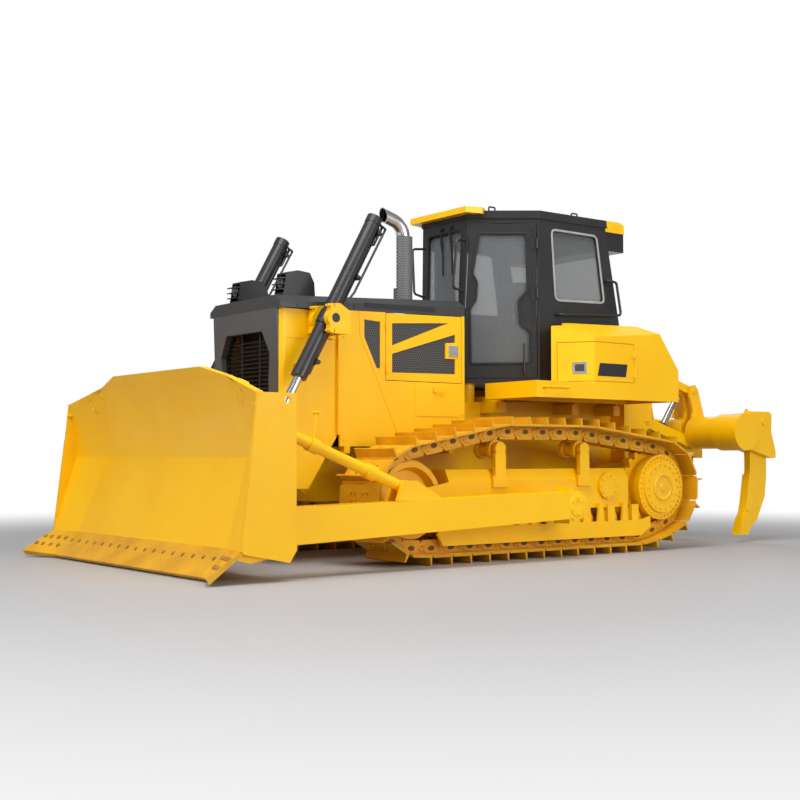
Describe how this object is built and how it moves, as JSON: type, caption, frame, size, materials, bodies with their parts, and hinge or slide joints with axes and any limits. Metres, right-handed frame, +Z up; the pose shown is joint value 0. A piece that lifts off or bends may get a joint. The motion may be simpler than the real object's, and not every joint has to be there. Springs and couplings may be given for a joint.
{
  "type": "track-type bulldozer",
  "caption": "Full-size crawler bulldozer with a semi-U blade on push arms, an enclosed cab over the tracks and a rear parallelogram ripper.",
  "frame": {"origin": "on the ground at the middle of the overall length and width", "axes": "-Y is forwards (the blade end), +X is the tractor's left side, +Z is up"},
  "size_m": [3.432, 7.33, 3.333],
  "materials": {
    "yellow_paint": "gloss machinery paint",
    "blade_paint": "gloss machinery paint",
    "hood_paint": "gloss machinery paint",
    "cowl_paint": "satin dark grey paint",
    "dark_paint": "satin dark grey paint",
    "wear_steel": "bare wear steel",
    "track_steel": "heat-treated track steel",
    "cast_wheels": "cast iron",
    "engine_iron": "painted casting",
    "chrome_pipe": "polished",
    "chrome_rod": "hard chrome",
    "steel_shield": "perforated sheet",
    "glass": "tinted safety glass",
    "trim_plastic": "moulded",
    "seat_fabric": "woven cover"
  },
  "bodies": {
    "tractor": {"ac_unit": "dark_paint", "cab_glass": "glass", "cab_shell": "dark_paint", "cab_visors": "yellow_paint", "cowl": "cowl_paint", "cross_members": "yellow_paint", "engine_block": "engine_iron", "exhaust": "chrome_pipe", "exhaust_guard": "steel_shield", "fender_left": "yellow_paint", "fender_right": "yellow_paint", "final_drives": "yellow_paint", "fuel_tank": "yellow_paint", "grille": "dark_paint", "headlamps": "dark_paint", "hood": "hood_paint", "idlers": "cast_wheels", "main_frame": "yellow_paint", "operator_station": "trim_plastic", "radiator_guard": "yellow_paint", "ripper_mount": "yellow_paint", "rollers": "cast_wheels", "seat_cushions": "seat_fabric", "side_panels": "yellow_paint", "track_frames": "yellow_paint", "track_left": "track_steel", "track_right": "track_steel"},
    "work_frame": {"blade": "blade_paint", "cutting_edges": "wear_steel", "push_arms": "yellow_paint", "braces": "yellow_paint"},
    "lift_barrel_left": {"lift_barrel_left": "dark_paint"},
    "lift_barrel_right": {"lift_barrel_right": "dark_paint"},
    "lift_rod_left": {"lift_rod_left": "chrome_rod"},
    "lift_rod_right": {"lift_rod_right": "chrome_rod"},
    "cab_door_left": {"cab_door_left": "dark_paint", "door_glass_left": "glass"},
    "cab_door_right": {"cab_door_right": "dark_paint", "door_glass_right": "glass"},
    "engine_door_left": {"engine_door_left": "yellow_paint"},
    "engine_door_right": {"engine_door_right": "yellow_paint"},
    "box_door_left": {"box_door_left": "yellow_paint"},
    "box_door_right": {"box_door_right": "yellow_paint"},
    "ripper_arms": {"ripper_arms": "yellow_paint"},
    "ripper_links": {"ripper_links": "yellow_paint"},
    "ripper_beam": {"ripper_beam": "yellow_paint", "ripper_shanks": "yellow_paint"},
    "ripper_barrels": {"ripper_barrels": "dark_paint"},
    "ripper_rods": {"ripper_rods": "chrome_rod"}
  },
  "joints": [
    {"name": "blade_lift", "type": "hinge", "parent": "tractor", "child": "work_frame", "pos_m": [0, 0.105, 0.48], "axis": [-1, 0, 0], "range_deg": [-9, 18]},
    {"name": "lift_cylinder_left", "type": "hinge", "parent": "tractor", "child": "lift_barrel_left", "pos_m": [0.75, -2.005, 2.07], "axis": [-1, 0, 0], "range_deg": [-8, 16]},
    {"name": "lift_stroke_left", "type": "slide", "parent": "lift_barrel_left", "child": "lift_rod_left", "axis": [0, -0.4848, -0.8746], "range_m": [-0.84, 0.42]},
    {"name": "lift_cylinder_right", "type": "hinge", "parent": "tractor", "child": "lift_barrel_right", "pos_m": [-0.75, -2.005, 2.07], "axis": [-1, 0, 0], "range_deg": [-8, 16]},
    {"name": "lift_stroke_right", "type": "slide", "parent": "lift_barrel_right", "child": "lift_rod_right", "axis": [0, -0.4848, -0.8746], "range_m": [-0.84, 0.42]},
    {"name": "cab_door_left_swing", "type": "hinge", "parent": "tractor", "child": "cab_door_left", "pos_m": [0.76707, 0.42508, 2.4], "axis": [0, 0, 1], "range_deg": [0, 95]},
    {"name": "engine_door_left_swing", "type": "hinge", "parent": "tractor", "child": "engine_door_left", "pos_m": [0.6093, -1.265, 1.9], "axis": [0, 0, -1], "range_deg": [0, 100]},
    {"name": "box_door_left_swing", "type": "hinge", "parent": "tractor", "child": "box_door_left", "pos_m": [1.3093, 1.192, 1.8], "axis": [0, 0, 1], "range_deg": [0, 100]},
    {"name": "cab_door_right_swing", "type": "hinge", "parent": "tractor", "child": "cab_door_right", "pos_m": [-0.76707, 0.42508, 2.4], "axis": [0, 0, -1], "range_deg": [0, 95]},
    {"name": "engine_door_right_swing", "type": "hinge", "parent": "tractor", "child": "engine_door_right", "pos_m": [-0.6093, -1.265, 1.9], "axis": [0, 0, 1], "range_deg": [0, 100]},
    {"name": "box_door_right_swing", "type": "hinge", "parent": "tractor", "child": "box_door_right", "pos_m": [-1.3093, 1.192, 1.8], "axis": [0, 0, -1], "range_deg": [0, 100]},
    {"name": "ripper_lift", "type": "hinge", "parent": "tractor", "child": "ripper_arms", "pos_m": [0, 2.28, 1.29], "axis": [1, 0, 0], "range_deg": [-20, 28]},
    {"name": "ripper_top_links", "type": "hinge", "parent": "tractor", "child": "ripper_links", "pos_m": [0, 2.28, 1.86], "axis": [1, 0, 0], "range_deg": [-20, 28]},
    {"name": "ripper_level", "type": "hinge", "parent": "ripper_arms", "child": "ripper_beam", "pos_m": [0, 3.05, 1.06], "axis": [1, 0, 0], "range_deg": [-28, 20]},
    {"name": "ripper_cylinders", "type": "hinge", "parent": "tractor", "child": "ripper_barrels", "pos_m": [0, 2.3, 0.62], "axis": [1, 0, 0], "range_deg": [-6.5, 9]},
    {"name": "ripper_stroke", "type": "slide", "parent": "ripper_barrels", "child": "ripper_rods", "axis": [0, 0.5962, 0.8029], "range_m": [-0.26, 0.36]}
  ],
  "couplings": [
    {"joint": "lift_cylinder_left", "follows": "blade_lift", "ratio": 0.85},
    {"joint": "lift_stroke_left", "follows": "blade_lift", "m_per_rad": -2.636},
    {"joint": "lift_cylinder_right", "follows": "blade_lift", "ratio": 0.85},
    {"joint": "lift_stroke_right", "follows": "blade_lift", "m_per_rad": -2.636},
    {"joint": "ripper_top_links", "follows": "ripper_lift", "ratio": 1},
    {"joint": "ripper_level", "follows": "ripper_lift", "ratio": -1},
    {"joint": "ripper_cylinders", "follows": "ripper_lift", "ratio": 0.235},
    {"joint": "ripper_stroke", "follows": "ripper_lift", "m_per_rad": 0.72}
  ]
}
